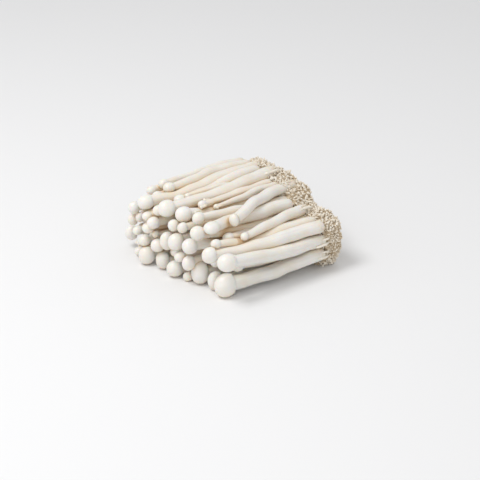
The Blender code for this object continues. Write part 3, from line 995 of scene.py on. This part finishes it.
@dataclass
class RootPins:
    """The crust of pins on the root base, the pins between the feet, and the sprouts.

    Pairs are the least and the most of a measure, or where something starts and is full.
    """

    bed: Bed
    base: RootBase
    slab: Object
    box: tuple
    seed: int = 77
    bud_seed: int = 5
    candidates: int = 40000
    spacing: float = 0.92
    least_up: float = 0.05
    front_facing: float = -0.6
    back_facing: float = 0.75
    ripening: Pair = (-0.5, 3.0)
    bareness: float = 0.8
    pit_pitch: float = 1.5
    pit_depth: float = -0.30
    lean: Pair = (0.5, 1.9)
    forward: float = -0.35
    pin_girth: Pair = (0.60, 0.84)
    pin_height: Pair = (0.9, 2.1)
    back_height: float = 0.7
    unripe_height: float = 0.6
    edge: float = 0.35
    edge_height: float = 0.35
    edge_girth: float = 0.7
    crumb_tries: int = 16000
    crumb_x: Pair = (26.0, 35.8)
    crumb_spacing: float = 0.8
    crumb_fade: Pair = (-4.0, 2.5)
    crumb_growth: Pair = (-3.0, 2.0)
    crumb_crease: Pair = (-0.15, 1.3)
    crumb_open: float = 0.25
    crumb_lean: float = 0.45
    crumb_girth: Pair = (0.34, 0.62)
    crumb_height: Pair = (0.5, 1.2)
    crumb_least: float = 0.55
    crumb_headroom: float = 1.3
    bare_foot: float = 1.6
    sprout_sides: int = 14
    sprout_rings: int = 15
    sprout_drift: float = 0.9
    sprout_rise: Pair = (-0.9, 1.35)
    sprout_headroom: float = 1.6
    sprouts: tuple[Sprout, ...] = (
        Sprout(29.0, -40.0, 16.5, 0.8, head=0.15), Sprout(33.0, -40.0, 13.0, 0.65, head=0.15),
        Sprout(30.2, -39.5, 9.0, 0.75, head=0.15), Sprout(33.6, -40.0, 21.0, 0.65, head=0.15),
        Sprout(31.5, -24.0, 33.0, 0.9, head=0.3),
        Sprout(28.5, 8.0, 39.0, 0.9), Sprout(27.5, 14.0, 39.5, 0.85),
    )
    buds: tuple[Sprout, ...] = (
        Sprout(-16.0, 1.2, 38.0, 0.85, -11.5, 1.0), Sprout(-20.7, -4.6, 38.0, 0.9, -16.0, 1.0),
        Sprout(-25.2, -6.4, 37.0, 0.75, -21.0, 1.0), Sprout(-12.6, -7.7, 36.5, 0.8, -8.5, 1.0),
        Sprout(-36.5, 32.0, 18.0, 1.9, -18.0, 0.3, False),
        Sprout(-38.8, 36.0, 4.5, 1.8, -18.0, 0.3, False),
    )

    def surface(self, random: Generator) -> tuple[Array, Array]:
        """Points spread evenly over the slab, with the way that its surface faces there.

        Args:
            random: The draw to use.

        Returns:
            The points and the ways, in rows.
        """
        mesh = self.slab.data
        mesh.calc_loop_triangles()
        corners = np.zeros(len(mesh.vertices) * 3)
        mesh.vertices.foreach_get("co", corners)
        corners = corners.reshape(-1, 3) / MM
        triangles = np.zeros(len(mesh.loop_triangles) * 3, int)
        mesh.loop_triangles.foreach_get("vertices", triangles)
        first, second, third = corners[triangles.reshape(-1, 3).T]
        facing = np.cross(second - first, third - first)
        area = np.linalg.norm(facing, axis=1)
        chosen = random.choice(len(area), self.candidates, p=area / area.sum())
        a, b = random.uniform(0, 1, (2, self.candidates, 1))
        over = a + b > 1
        a, b = np.where(over, 1 - a, a), np.where(over, 1 - b, b)
        spots = first[chosen] + a * (second - first)[chosen] + b * (third - first)[chosen]
        return spots, unit(facing[chosen])

    def crust(self, material: Material, random: Generator) -> list[Object]:
        """Grow the pins on the base, in one piece for its sides and one for its back.

        Args:
            material: Its finish.
            random: The draw to use.

        Returns:
            The two pieces.
        """
        spots, facing = self.surface(random)
        placed = spots + self.bed.shift
        ripe = smoothstep(placed[:, 0] - self.base.front(placed[:, 1], placed[:, 2]), *self.ripening)
        bare = (facing[:, 0] < self.front_facing) | (spots[:, 2] < self.least_up)
        bare |= ripe < random.uniform(0, 1, len(spots)) * self.bareness
        depths = np.array([noise.noise(Vector(spot) / self.pit_pitch) for spot in spots])
        bare |= (depths < self.pit_depth) & (facing[:, 0] < self.back_facing)
        spots, facing, ripe = thin_out(self.spacing, *rows_of(~bare, spots, facing, ripe))
        count = len(spots)
        back = facing[:, 0] > self.back_facing
        sideways = unit(np.cross(facing, random.normal(size=(count, 3))))
        forward = np.where(back, 0.0, 1.0)[:, None] * (self.forward, 0.0, 0.0)
        axes = unit(facing + sideways * random.uniform(*self.lean, (count, 1)) + forward)
        radii = random.uniform(*self.pin_girth, count) ** 2
        heights = random.uniform(*self.pin_height, count) * np.where(back, self.back_height, 1.0)
        heights *= self.unripe_height + (1 - self.unripe_height) * ripe
        low, high = np.array(self.box) / MM
        ends = spots + axes * (heights + 0.3)[:, None]
        past = (ends[:, 0] > high[0] - self.edge) | (ends[:, 1] < low[1] + self.edge)
        past |= ends[:, 1] > high[1] - self.edge
        heights *= np.where(past, self.edge_height, 1.0)
        radii *= np.where(past, self.edge_girth, 1.0)
        return [
            PinCrop(name, material).build(*rows_of(group, spots, axes, radii, heights), random)
            for name, group in (("root_pins_crust", ~back), ("root_pins_back", back))
        ]

    def crumbs(self, material: Material, random: Generator) -> Object:
        """Grow small pins in the creases between the feet, fewer the further from the base.

        Args:
            material: Its finish.
            random: The draw to use.

        Returns:
            The piece.
        """
        bed, tries = self.bed, self.crumb_tries
        every = np.arange(tries)
        x = random.uniform(*self.crumb_x, tries)
        chosen = random.integers(0, bed.plants.shape[1], tries)
        turn = random.uniform(0, math.tau, tries)
        middle, radii = bed.cut(x[:, None])
        out = np.column_stack([np.cos(turn), np.sin(turn)])
        radius = radii[every, chosen] + bed.touch
        spots = np.column_stack([x, middle[every, chosen] + out * radius[:, None]])
        gaps = bed.gaps(spots)
        gaps[every, chosen] = FAR
        nearest = gaps.min(axis=1)
        free, crease = self.crumb_crease
        depth = x - self.base.front(spots[:, 1], spots[:, 2])
        chance = smoothstep(depth, *self.crumb_fade)
        chance *= self.crumb_open + (1 - self.crumb_open) * (nearest < crease)
        feet = bed.foot_x + np.array([cap.foot for caps in CAP_ROWS for cap in caps])
        kept = (nearest > free) & (random.uniform(0, 1, tries) < chance)
        kept &= (x < feet[chosen] - self.bare_foot) & (spots[:, 2] < TOP - self.crumb_headroom)
        spots, out, depth = thin_out(self.crumb_spacing, *rows_of(kept, spots, out, depth))
        count = len(spots)
        outward = np.column_stack([np.full(count, -0.3), out])
        axes = unit(outward + random.normal(0, self.crumb_lean, (count, 3)))
        size = self.crumb_least + (1 - self.crumb_least) * smoothstep(depth, *self.crumb_growth)
        heights = random.uniform(*self.crumb_height, count) * size
        radii = random.uniform(*self.crumb_girth, count) * size
        crop = PinCrop("root_pins_crumbs", material)
        return crop.build(spots - bed.shift, axes, radii, heights, random)

    def lie(self, sprout: Sprout, share: Array, drift: Array) -> Array:
        """A sprout's line from its foot to its tip, laid smoothly on the stems.

        Args:
            sprout: The sprout.
            share: How far along it the points are, from 0 to 1.
            drift: How far its tip strays, in y and z.

        Returns:
            Rows (x, y, z).
        """
        line = np.column_stack([
            sprout.foot_x + (sprout.tip_x - sprout.foot_x) * share,
            sprout.across + drift[0] * share, sprout.up + drift[1] * share,
        ])
        if sprout.laid:
            start, climb = self.sprout_rise
            rise = start + climb * smoothstep(share, 0.0, 0.6)
            line = self.bed.rest_on(line, rise * sprout.radius)
        line[:, 2] = np.minimum(line[:, 2], TOP - self.sprout_headroom * sprout.radius)
        for axis_number in (1, 2):
            line[:, axis_number] = np.polyval(np.polyfit(share, line[:, axis_number], 2), share)
        return line

    def grow_sprouts(
        self, name: str, sprouts: tuple[Sprout, ...], material: Material, random: Generator
    ) -> Object:
        """Grow sprouts as one piece: each thinner towards its round head.

        Args:
            name: The piece's name.
            sprouts: Where they lie.
            material: Its finish.
            random: The draw to use.

        Returns:
            The piece.
        """
        turn = ring_angles(self.sprout_sides)
        share = np.linspace(0, 1, self.sprout_rings)
        stalk = (1 - 0.35 * share) * (0.3 + 0.7 * smoothstep(share, -0.05, 0.3))
        swell = np.exp(-((share - 0.88) / 0.10) ** 2)
        end = np.sqrt(np.clip(1 - ((share - 0.86) / 0.15).clip(0, 1) ** 2, 0.03, 1))
        shares = np.concatenate([[0.0], np.repeat(share, self.sprout_sides), [1.0]])
        pile = MeshPile("tip", "tone", "crevice")
        for sprout in sprouts:
            line = self.lie(sprout, share, random.uniform(-self.sprout_drift, self.sprout_drift, 2))
            wides = sprout.radius * stalk * (1 + sprout.head * swell) * end
            along = unit(np.gradient(line, axis=0))
            rings = line[:, None] + ways_round(turn, *ways_across(along)) * wides[:, None, None]
            points = np.vstack([line[:1], rings.reshape(-1, 3), line[-1:] + along[-1:] * 0.1])
            # The buds carry painted shade: most at each one's foot, least at its head.
            pile.add(
                points, tube_faces(self.sprout_rings, self.sprout_sides), tip=0.8 + 0.2 * shares,
                tone=np.full(len(points), random.uniform(0.8, 1.0)), crevice=0.85 - 0.55 * shares,
            )
        return pile.build(name, [material], self.bed.shift)

    def build(self, material: Material) -> list[Object]:
        """Grow all of them but the buds.

        Args:
            material: Their finish.

        Returns:
            The pieces.
        """
        random = np.random.default_rng(self.seed)
        pieces = self.crust(material, random)
        pieces.append(self.crumbs(material, random))
        pieces.append(self.grow_sprouts("root_sprouts", self.sprouts, material, random))
        return pieces

    def build_buds(self, material: Material) -> Object:
        """Grow the buds on the stems, with two short stems between the far caps.

        Args:
            material: Its finish.

        Returns:
            The piece.
        """
        random = np.random.default_rng(self.bud_seed)
        return self.grow_sprouts("mushrooms_buds", self.buds, material, random)


# Finishes.


@dataclass(frozen=True)
class Patches:
    """Cloudy patches: their size in mm, where they fade in and out, and their detail."""

    size: float
    low: float
    high: float
    detail: float = 3.0


class NodeBench:
    """Adds shader nodes to one tree and wires them."""

    def __init__(self, tree: NodeTree) -> None:
        """Work on a tree."""
        self.tree = tree

    def feed(self, node: Node, inputs: dict) -> Node:
        """Wire sockets into a node's inputs, and set plain values on them.

        Args:
            node: The node.
            inputs: A socket or a plain value, by the input's name or number.

        Returns:
            The node.
        """
        for name, value in inputs.items():
            if isinstance(value, Socket):
                self.tree.links.new(value, node.inputs[name])
            else:
                node.inputs[name].default_value = value
        return node

    def add(self, kind: str, inputs: dict | None = None, **settings) -> Node:
        """Add a node.

        Args:
            kind: Its Blender type.
            inputs: What goes in: a socket to wire, or a plain value, by socket name or number.
            **settings: Its properties.

        Returns:
            The node.
        """
        node = self.tree.nodes.new(kind)
        for name, value in settings.items():
            setattr(node, name, value)
        return self.feed(node, inputs or {})

    def value(self, name: str) -> Socket:
        """A painted value of the mesh."""
        return self.add("ShaderNodeAttribute", attribute_name=name).outputs["Fac"]

    def blend(self, share: Socket | float, low: Socket | Colour, high: Socket | Colour) -> Socket:
        """Mix two colours by a share."""
        low, high = (value if isinstance(value, Socket) else (*value, 1.0) for value in (low, high))
        return self.add("ShaderNodeMix", {0: share, 6: low, 7: high}, data_type="RGBA").outputs[2]

    def reckon(self, how: str, first: Socket | float, second: Socket | float = 0.0) -> Socket:
        """Work out one number from two."""
        return self.add("ShaderNodeMath", {0: first, 1: second}, operation=how).outputs[0]

    def spread(
        self, value: Socket, low: Socket | float, high: Socket | float, start: float = 0.0,
        end: float = 1.0,
    ) -> Socket:
        """Stretch a value from low..high to start..end, and hold it there."""
        return self.add("ShaderNodeMapRange", {
            "Value": value, "From Min": low, "From Max": high, "To Min": start, "To Max": end,
        }).outputs["Result"]

    def effect(self, name: str, **values: float) -> dict[str, Socket]:
        """What a shared group gives for some values."""
        return self.add("ShaderNodeGroup", values, node_tree=bpy.data.node_groups[name]).outputs

    def clouds(self, patches: Patches) -> Socket:
        """Cloudy patches."""
        size, low, high, detail = astuple(patches)
        return self.effect("mottle", Size=size, Low=low, High=high, Detail=detail)["Mask"]

    def bump(self, height: Socket, depth: float) -> Socket:
        """Normals of a relief; depth is in mm."""
        node = self.add("ShaderNodeBump", {"Height": height, "Distance": depth * MM, "Strength": 1.0})
        return node.outputs["Normal"]


def new_material(name: str) -> tuple[Material, NodeBench, Node]:
    """A new material, a bench for its nodes, and its shader.

    Args:
        name: Its name.

    Returns:
        The three.
    """
    material = bpy.data.materials.new(name)
    material.use_nodes = True
    return material, NodeBench(material.node_tree), material.node_tree.nodes["Principled BSDF"]


def effect_group(name: str, inputs: tuple[str, ...], outputs: tuple[str, ...]) -> NodeBench:
    """Start a shader node group that several finishes share.

    Args:
        name: The group's name.
        inputs: Its number inputs.
        outputs: Its number outputs.

    Returns:
        A bench for its nodes. Those of its inputs and outputs are named In and Out.
    """
    tree = bpy.data.node_groups.new(name, "ShaderNodeTree")
    for sockets, way in ((inputs, "INPUT"), (outputs, "OUTPUT")):
        for socket in sockets:
            tree.interface.new_socket(socket, in_out=way, socket_type="NodeSocketFloat")
    bench = NodeBench(tree)
    bench.add("NodeGroupInput", name="In")
    bench.add("NodeGroupOutput", name="Out")
    return bench


def mottle_group() -> None:
    """Soft cloudy patches, by place on the object: Size in mm, and how sharp they are."""
    bench = effect_group("mottle", ("Size", "Detail", "Low", "High"), ("Mask",))
    given = bench.tree.nodes["In"].outputs
    cloud = bench.add("ShaderNodeTexNoise", {
        "Vector": bench.add("ShaderNodeTexCoord").outputs["Object"],
        "Scale": bench.reckon("DIVIDE", 1 / MM, given["Size"]), "Detail": given["Detail"],
        "Roughness": 0.55,
    }).outputs["Fac"]
    mask = bench.spread(cloud, given["Low"], given["High"])
    bench.feed(bench.tree.nodes["Out"], {"Mask": mask})


def fibre_group() -> None:
    """Streaks along a stem, or spokes under a cap: Fineness is how many there are round it."""
    bench = effect_group("fibres", ("Fineness", "Length", "Low", "High"), ("Mask", "Height"))
    given = bench.tree.nodes["In"].outputs
    place = bench.add("ShaderNodeAttribute", attribute_name="fibre").outputs["Vector"]
    parts = bench.add("ShaderNodeSeparateXYZ", {0: place}).outputs
    drawn = bench.add("ShaderNodeCombineXYZ", {
        number: bench.reckon("MULTIPLY", parts[number], given[scale])
        for number, scale in enumerate(("Fineness", "Fineness", "Length"))
    })
    streak = bench.add("ShaderNodeTexNoise", {
        "Vector": drawn.outputs[0], "Scale": 1.0, "Detail": 4.0, "Roughness": 0.6,
    }).outputs["Fac"]
    mask = bench.spread(streak, given["Low"], given["High"])
    bench.feed(bench.tree.nodes["Out"], {"Mask": mask, "Height": streak})


@dataclass(frozen=True)
class FleshFinish:
    """White mushroom flesh: satin, faintly fibrous, cream in patches, with painted shade in tan and
    brown where neighbours, caps and the floor come close.
    """

    name: str
    base: Colour
    pale: Colour
    cream: Colour
    warmth: Patches = Patches(7.0, 0.42, 0.66)
    warm_share: float = 0.6
    tone_share: float = 0.3
    # Painted shade: tan where neighbours, caps and the floor come close, brown where they come
    # closest.
    painted_shade_tan: Colour = (0.84, 0.64, 0.40)
    painted_deep_shade_brown: Colour = (0.54, 0.36, 0.19)
    painted_shade_share: float = 0.85
    painted_shade_power: float = 1.2
    crease: Pair = (0.55, 0.98)
    painted_deep_shade_share: float = 0.65
    stain: Colour = (0.66, 0.55, 0.40)
    stained: Pair = (27.0, 36.0)
    stains: Patches = Patches(2.2, 0.40, 0.62, 5.0)
    stain_power: float = 1.4
    stain_least: float = 0.25
    fineness: float = 0.5
    fibre_length: float = 0.05
    fibre_depth: float = 0.09
    fibre_edge: Pair = (0.35, 0.65)
    grain: Patches = Patches(0.5, 0.2, 0.8, 2.0)
    grain_share: float = 0.12
    gloss: Patches = Patches(3.0, 0.3, 0.7)
    roughness: Pair = (0.36, 0.48)
    specular: float = 0.5
    through: float = 0.25
    through_reach: Colour = (1.0, 0.52, 0.25)
    through_depth: float = 2.5

    def colour(self, bench: NodeBench, streaks: Socket) -> Socket:
        """Mix the colour: streaks, warm patches, painted shade in tan and, in the creases, in brown,
        and stains at the foot.

        Args:
            bench: Where its nodes go.
            streaks: How strong the streaks are.

        Returns:
            The colour.
        """
        colour = bench.blend(streaks, self.base, self.pale)
        tone = bench.reckon("MULTIPLY", bench.value("tone"), self.tone_share)
        warm = bench.reckon("ADD", bench.clouds(self.warmth), tone)
        # Painted shade: deep turns the colour tan, and the crease range turns it brown.
        deep = bench.reckon("POWER", bench.value("crevice"), self.painted_shade_power)
        foot = bench.spread(bench.value("from_foot"), *self.stained)
        foot = bench.reckon("POWER", foot, self.stain_power)
        spots = bench.spread(bench.clouds(self.stains), 0, 1, self.stain_least, 1.0)
        for value, share, over in (
            (warm, self.warm_share, self.cream),
            (deep, self.painted_shade_share, self.painted_shade_tan),
            (bench.spread(bench.value("crevice"), *self.crease), self.painted_deep_shade_share, self.painted_deep_shade_brown),
            (foot, spots, self.stain),
        ):
            colour = bench.blend(bench.reckon("MULTIPLY", value, share), colour, over)
        return colour

    def material(self) -> Material:
        """Make the material.

        Returns:
            The material.
        """
        material, bench, shader = new_material(self.name)
        low, high = self.fibre_edge
        streaks = bench.effect(
            "fibres", Fineness=self.fineness, Length=self.fibre_length, Low=low, High=high
        )
        grain = bench.reckon("MULTIPLY", bench.clouds(self.grain), self.grain_share)
        height = bench.reckon("ADD", streaks["Height"], grain)
        bench.feed(shader, {
            "Base Color": self.colour(bench, streaks["Mask"]),
            "Roughness": bench.spread(bench.clouds(self.gloss), 0, 1, *self.roughness),
            "Normal": bench.bump(height, self.fibre_depth),
            "Specular IOR Level": self.specular,
            "Subsurface Weight": self.through,
            "Subsurface Radius": self.through_reach,
            "Subsurface Scale": self.through_depth * MM,
        })
        return material


@dataclass(frozen=True)
class RootFinish:
    """Beige, matt tissue of the root base, brown in its pits; pins are paler at their tips."""

    name: str
    pit: Colour
    flesh: Colour
    tips: Colour
    pins: bool
    pin_pale: Pair = (0.1, 0.8)
    pin_tip: Pair = (0.4, 1.0)
    patches: Patches = Patches(6.0, 0.38, 0.64)
    patch_share: float = 0.35
    specks: Patches = Patches(0.9, 0.42, 0.60, 5.0)
    speck_share: float = 0.30
    grain: Patches = Patches(0.4, 0.25, 0.75, 4.0)
    grain_depth: float = 0.12
    roughness: Pair = (0.75, 0.93)
    specular: float = 0.25

    def material(self) -> Material:
        """Make the material.

        Returns:
            The material.
        """
        material, bench, shader = new_material(self.name)
        specks = bench.clouds(self.specks)
        if self.pins:
            tip = bench.value("tip")
            colour = bench.blend(bench.spread(tip, *self.pin_pale), self.pit, self.flesh)
            paler = bench.reckon("MULTIPLY", bench.value("tone"), bench.spread(tip, *self.pin_tip))
            colour = bench.blend(paler, colour, self.tips)
        else:
            colour = bench.blend(specks, self.pit, self.flesh)
        patches = bench.reckon("MULTIPLY", bench.clouds(self.patches), self.patch_share)
        colour = bench.blend(patches, colour, self.tips)
        darker = bench.reckon("MULTIPLY", bench.reckon("SUBTRACT", 1.0, specks), self.speck_share)
        grain = bench.clouds(self.grain)
        bench.feed(shader, {
            "Base Color": bench.blend(darker, colour, self.pit),
            "Roughness": bench.spread(grain, 0, 1, *self.roughness),
            "Normal": bench.bump(grain, self.grain_depth),
            "Specular IOR Level": self.specular,
        })
        return material


FLESH = (
    FleshFinish("stem_flesh", (0.775, 0.755, 0.71), (0.825, 0.815, 0.79), (0.775, 0.725, 0.63)),
    # The caps take less of the painted shade than the stems.
    FleshFinish(
        "cap_skin", (0.815, 0.80, 0.76), (0.84, 0.828, 0.80), (0.81, 0.765, 0.68), fineness=0.25,
        fibre_depth=0.02, roughness=(0.27, 0.36), painted_shade_share=0.7, painted_deep_shade_share=0.35,
    ),
    FleshFinish(
        "gills", (0.74, 0.66, 0.52), (0.82, 0.76, 0.64), (0.72, 0.62, 0.46), fineness=2.5,
        fibre_length=0.4, fibre_depth=0.25,
    ),
)
ROOT_CORE = RootFinish(
    "root_core", (0.36, 0.26, 0.15), (0.66, 0.55, 0.40), (0.76, 0.67, 0.53), pins=False
)
ROOT_PINS = RootFinish(
    "root_pins", (0.68, 0.57, 0.43), (0.88, 0.81, 0.69), (0.92, 0.88, 0.80), pins=True
)


# The studio.


def look_back(thing: Object, back: Vector) -> None:
    """Turn a camera or a light so that back points away from what it looks at."""
    thing.rotation_euler = (-back).to_track_quat("-Z", "Y").to_euler()


@dataclass(frozen=True)
class Studio:
    """A pale floor, soft light from the left and above, and the camera.

    Each lamp has a name, its size, its power and its place, in metres.
    """

    target: Triple = (4.57, -1.26, 10.6)
    distance: float = 843.0
    azimuth: float = -30.0
    elevation: float = 25.7
    lens: float = 118.2
    sensor: float = 36.0
    floor_size: float = 6.0
    floor_drop: float = 0.05
    floor_colour: Colour = (0.84, 0.84, 0.845)
    floor_roughness: float = 0.6
    floor_specular: float = 0.2
    lamps: tuple[tuple[str, float, float, Triple], ...] = (
        ("key", 0.35, 3.75, (-0.42, 0.04, 0.81)), ("front", 0.9, 1.5, (-0.55, -0.80, 0.45)),
    )
    room_light: float = 0.66

    def camera(self) -> None:
        """Place the camera at the photograph's viewing angle."""
        turn, rise = math.radians(self.azimuth), math.radians(self.elevation)
        level = math.cos(rise)
        back = Vector((math.sin(turn) * level, -math.cos(turn) * level, math.sin(rise)))
        lens = bpy.data.cameras.new("camera")
        lens.sensor_width = self.sensor
        lens.lens = self.lens
        camera = put("camera", lens)
        camera.location = (Vector(self.target) + back * self.distance) * MM
        look_back(camera, back)
        bpy.context.scene.camera = camera

    def floor(self) -> None:
        """Lay the floor."""
        half = self.floor_size / 2
        mesh = bpy.data.meshes.new("floor")
        corners = [(-half, -half, 0), (half, -half, 0), (half, half, 0), (-half, half, 0)]
        mesh.from_pydata(corners, [], [[0, 1, 2, 3]])
        material, bench, shader = new_material("floor")
        bench.feed(shader, {
            "Base Color": (*self.floor_colour, 1.0), "Roughness": self.floor_roughness,
            "Specular IOR Level": self.floor_specular,
        })
        mesh.materials.append(material)
        floor = put("floor", mesh)
        floor.location.z = -self.floor_drop * MM

    def lights(self) -> None:
        """Hang a large soft light at the upper left, and fill the room with white."""
        for name, size, power, place in self.lamps:
            lamp = bpy.data.lights.new(name, "AREA")
            lamp.size = size
            lamp.energy = power
            light = put(name, lamp)
            light.location = place
            look_back(light, Vector(place))
        world = bpy.data.worlds.new("room")
        world.use_nodes = True
        room = world.node_tree.nodes["Background"].inputs
        room["Color"].default_value = (1.0, 1.0, 1.0, 1.0)
        room["Strength"].default_value = self.room_light
        bpy.context.scene.world = world
        bpy.context.scene.view_settings.view_transform = "Standard"


def dress(piece: Object, node: str) -> None:
    """Ride a piece on the part's body, in the place of its solid.

    Args:
        piece: The piece.
        node: The node that the piece stands for.
    """
    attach(piece, BODY)
    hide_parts(node)
    log.info("%s: %d faces", piece.name, len(piece.data.polygons))


def main() -> None:
    """Build the bunch and its studio."""
    logging.basicConfig(level=logging.INFO, format="%(message)s")
    studio = Studio()
    studio.camera()
    studio.floor()
    studio.lights()
    mottle_group()
    fibre_group()
    flesh = [finish.material() for finish in FLESH]
    bed = Bed()
    bed.settle()
    for row in range(len(CAP_ROWS)):
        dress(Tier(row, bed, flesh).build(), "mushrooms")
    base = RootBase(bed)
    slab = base.build(ROOT_CORE.material())
    dress(slab, "root_base")
    pins = RootPins(bed, base, slab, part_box("root_base"))
    for crop in pins.build(ROOT_PINS.material()):
        dress(crop, "root_base")
    dress(pins.build_buds(flesh[Flesh.CAP.value]), "mushrooms")


if __name__ == "__main__":
    main()
